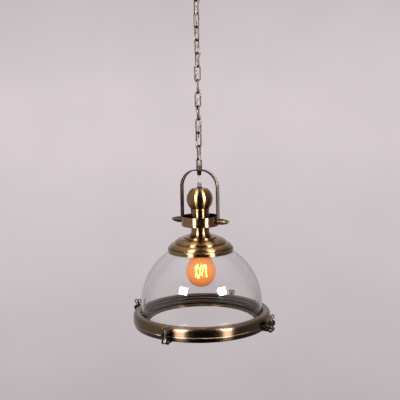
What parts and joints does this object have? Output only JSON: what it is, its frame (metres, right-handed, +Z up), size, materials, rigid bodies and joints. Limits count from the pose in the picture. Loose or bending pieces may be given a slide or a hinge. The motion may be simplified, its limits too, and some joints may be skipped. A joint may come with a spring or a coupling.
{
  "type": "pendant light",
  "caption": "Pendant light: clear glass dome in a clamp ring with swing bolts, under a stepped canopy that tilts in a strap bail hung on a link chain.",
  "frame": {"origin": "on the ceiling face, midway between the two fixing slots of the strap", "axes": "+Z points up into the ceiling and the lamp hangs down to -Z; +X runs along the bail's two tilt pivots; +Y completes the right-handed frame"},
  "size_m": [0.329, 0.329, 0.7661],
  "materials": {
    "steel": "zinc plated",
    "rose_brass": "antique, polished",
    "raw_brass": "bright",
    "white_plastic": "smooth",
    "cast_brass": "antique, cast",
    "chain_brass": "antique, bright on the edges",
    "clear_sheath": "clear sheath over silvery cores",
    "strap_bronze": "dark bronze, satin",
    "black_plastic": "matt",
    "dark_brass": "antique, dark",
    "clear_plastic": "clear",
    "polished_brass": "antique, polished",
    "cup_brass": "antique, satin",
    "ceramic": "glazed porcelain",
    "seal_rubber": "matt",
    "clear_glass": "clear",
    "ring_bronze": "bronze, satin, lacquered",
    "bolt_steel": "plated, worn",
    "amber_glass": "amber tinted",
    "stem_glass": "clear",
    "hot_wire": "glowing"
  },
  "bodies": {
    "rose": {"ceiling_strap": "steel", "rose_cup": "rose_brass", "rose_tube": "raw_brass", "rose_nut": "raw_brass", "terminal_block": "white_plastic", "ceiling_loop": "cast_brass", "mains_cable": "clear_sheath"},
    "link_01": {"link_01": "chain_brass"},
    "link_02": {"link_02": "chain_brass"},
    "link_03": {"link_03": "chain_brass"},
    "link_04": {"link_04": "chain_brass"},
    "link_05": {"link_05": "chain_brass"},
    "link_06": {"link_06": "chain_brass"},
    "link_07": {"link_07": "chain_brass"},
    "link_08": {"link_08": "chain_brass"},
    "link_09": {"link_09": "chain_brass"},
    "link_10": {"link_10": "chain_brass"},
    "link_11": {"link_11": "chain_brass"},
    "link_12": {"link_12": "chain_brass"},
    "link_13": {"link_13": "chain_brass"},
    "bail": {"hanger_loop": "cast_brass", "bail": "strap_bronze", "bail_cord_grip": "black_plastic", "pivot_barrels": "dark_brass"},
    "head": {"pivot_bolts": "dark_brass", "pivot_washers": "dark_brass", "head_cord_grip": "clear_plastic", "top_bush": "dark_brass", "ball_cap": "polished_brass", "neck_sleeve": "polished_brass", "cup": "cup_brass", "canopy": "polished_brass", "threaded_tube": "raw_brass", "tube_nut": "raw_brass", "lampholder_shell": "cup_brass", "lampholder_insulator": "ceramic", "lampholder_contacts": "raw_brass", "shade_ring": "cup_brass", "shade_washer": "seal_rubber", "canopy_gasket": "seal_rubber", "glass_dome": "clear_glass", "upper_gasket": "seal_rubber", "foot_gasket": "seal_rubber", "upper_ring": "ring_bronze", "lower_ring": "ring_bronze", "hinge_pins": "dark_brass"},
    "swing_bolt_1": {"swing_bolt_1": "bolt_steel"},
    "wing_nut_1": {"wing_nut_1": "cast_brass"},
    "swing_bolt_2": {"swing_bolt_2": "bolt_steel"},
    "wing_nut_2": {"wing_nut_2": "cast_brass"},
    "swing_bolt_3": {"swing_bolt_3": "bolt_steel"},
    "wing_nut_3": {"wing_nut_3": "cast_brass"},
    "swing_bolt_4": {"swing_bolt_4": "bolt_steel"},
    "wing_nut_4": {"wing_nut_4": "cast_brass"},
    "pivot_nut_left": {"pivot_wing_nut_left": "cast_brass"},
    "pivot_nut_right": {"pivot_wing_nut_right": "cast_brass"},
    "bulb": {"bulb_cap": "raw_brass", "bulb_glass": "amber_glass", "bulb_stem": "stem_glass", "filament": "hot_wire"}
  },
  "joints": [
    {"name": "link_01_swing", "type": "hinge", "parent": "rose", "child": "link_01", "pos_m": [0, 0, -0.0554], "axis": [-0.9397, 0.342, 0], "range_deg": [-12, 12], "deforming": ["mains_cable"]},
    {"name": "link_02_swing", "type": "hinge", "parent": "link_01", "child": "link_02", "pos_m": [0, 0, -0.0834], "axis": [0.342, 0.9397, 0], "range_deg": [-12, 12]},
    {"name": "link_03_swing", "type": "hinge", "parent": "link_02", "child": "link_03", "pos_m": [0, 0, -0.1115], "axis": [-0.9205, 0.3907, 0], "range_deg": [-12, 12]},
    {"name": "link_04_swing", "type": "hinge", "parent": "link_03", "child": "link_04", "pos_m": [0, 0, -0.1396], "axis": [0.4384, 0.8988, 0], "range_deg": [-12, 12]},
    {"name": "link_05_swing", "type": "hinge", "parent": "link_04", "child": "link_05", "pos_m": [0, 0, -0.1677], "axis": [-0.9205, 0.3907, 0], "range_deg": [-12, 12]},
    {"name": "link_06_swing", "type": "hinge", "parent": "link_05", "child": "link_06", "pos_m": [0, 0, -0.1958], "axis": [0.1908, 0.9816, 0], "range_deg": [-12, 12]},
    {"name": "link_07_swing", "type": "hinge", "parent": "link_06", "child": "link_07", "pos_m": [0, 0, -0.2239], "axis": [-0.8572, 0.515, 0], "range_deg": [-12, 12]},
    {"name": "link_08_swing", "type": "hinge", "parent": "link_07", "child": "link_08", "pos_m": [0, 0, -0.252], "axis": [0.7771, 0.6293, 0], "range_deg": [-12, 12]},
    {"name": "link_09_swing", "type": "hinge", "parent": "link_08", "child": "link_09", "pos_m": [0, 0, -0.2801], "axis": [-0.5592, 0.829, 0], "range_deg": [-12, 12]},
    {"name": "link_10_swing", "type": "hinge", "parent": "link_09", "child": "link_10", "pos_m": [0, 0, -0.3082], "axis": [0.6157, 0.788, 0], "range_deg": [-12, 12]},
    {"name": "link_11_swing", "type": "hinge", "parent": "link_10", "child": "link_11", "pos_m": [0, 0, -0.3363], "axis": [-0.6691, 0.7431, 0], "range_deg": [-12, 12]},
    {"name": "link_12_swing", "type": "hinge", "parent": "link_11", "child": "link_12", "pos_m": [0, 0, -0.3644], "axis": [0.4695, 0.8829, 0], "range_deg": [-12, 12]},
    {"name": "link_13_swing", "type": "hinge", "parent": "link_12", "child": "link_13", "pos_m": [0, 0, -0.3925], "axis": [-0.9903, 0.1392, 0], "range_deg": [-12, 12]},
    {"name": "bail_swing", "type": "hinge", "parent": "link_13", "child": "bail", "pos_m": [0, 0, -0.4206], "axis": [0, 1, 0], "range_deg": [-12, 12]},
    {"name": "head_tilt", "type": "hinge", "parent": "bail", "child": "head", "pos_m": [0, 0, -0.5488], "axis": [1, 0, 0], "range_deg": [-25, 25]},
    {"name": "swing_bolt_1_swing", "type": "hinge", "parent": "head", "child": "swing_bolt_1", "pos_m": [0.1575, 0, -0.76109], "axis": [0, 1, 0], "range_deg": [0, 90]},
    {"name": "wing_nut_1_spin", "type": "hinge", "parent": "swing_bolt_1", "child": "wing_nut_1", "pos_m": [0.1575, 0, -0.74109], "axis": [0, 0, 1], "continuous": true},
    {"name": "swing_bolt_2_swing", "type": "hinge", "parent": "head", "child": "swing_bolt_2", "pos_m": [0, 0.1575, -0.76109], "axis": [-1, 0, 0], "range_deg": [0, 90]},
    {"name": "wing_nut_2_spin", "type": "hinge", "parent": "swing_bolt_2", "child": "wing_nut_2", "pos_m": [0, 0.1575, -0.74109], "axis": [0, 0, 1], "continuous": true},
    {"name": "swing_bolt_3_swing", "type": "hinge", "parent": "head", "child": "swing_bolt_3", "pos_m": [-0.1575, 0, -0.76109], "axis": [0, -1, 0], "range_deg": [0, 90]},
    {"name": "wing_nut_3_spin", "type": "hinge", "parent": "swing_bolt_3", "child": "wing_nut_3", "pos_m": [-0.1575, 0, -0.74109], "axis": [0, 0, 1], "continuous": true},
    {"name": "swing_bolt_4_swing", "type": "hinge", "parent": "head", "child": "swing_bolt_4", "pos_m": [0, -0.1575, -0.76109], "axis": [1, 0, 0], "range_deg": [0, 90]},
    {"name": "wing_nut_4_spin", "type": "hinge", "parent": "swing_bolt_4", "child": "wing_nut_4", "pos_m": [0, -0.1575, -0.74109], "axis": [0, 0, 1], "continuous": true},
    {"name": "pivot_nut_left_spin", "type": "hinge", "parent": "head", "child": "pivot_nut_left", "pos_m": [-0.057, 0, -0.5488], "axis": [-1, 0, 0], "continuous": true},
    {"name": "pivot_nut_right_spin", "type": "hinge", "parent": "head", "child": "pivot_nut_right", "pos_m": [0.057, 0, -0.5488], "axis": [1, 0, 0], "continuous": true},
    {"name": "bulb_spin", "type": "hinge", "parent": "head", "child": "bulb", "pos_m": [0, 0, -0.6566], "axis": [0, 0, 1], "continuous": true}
  ]
}
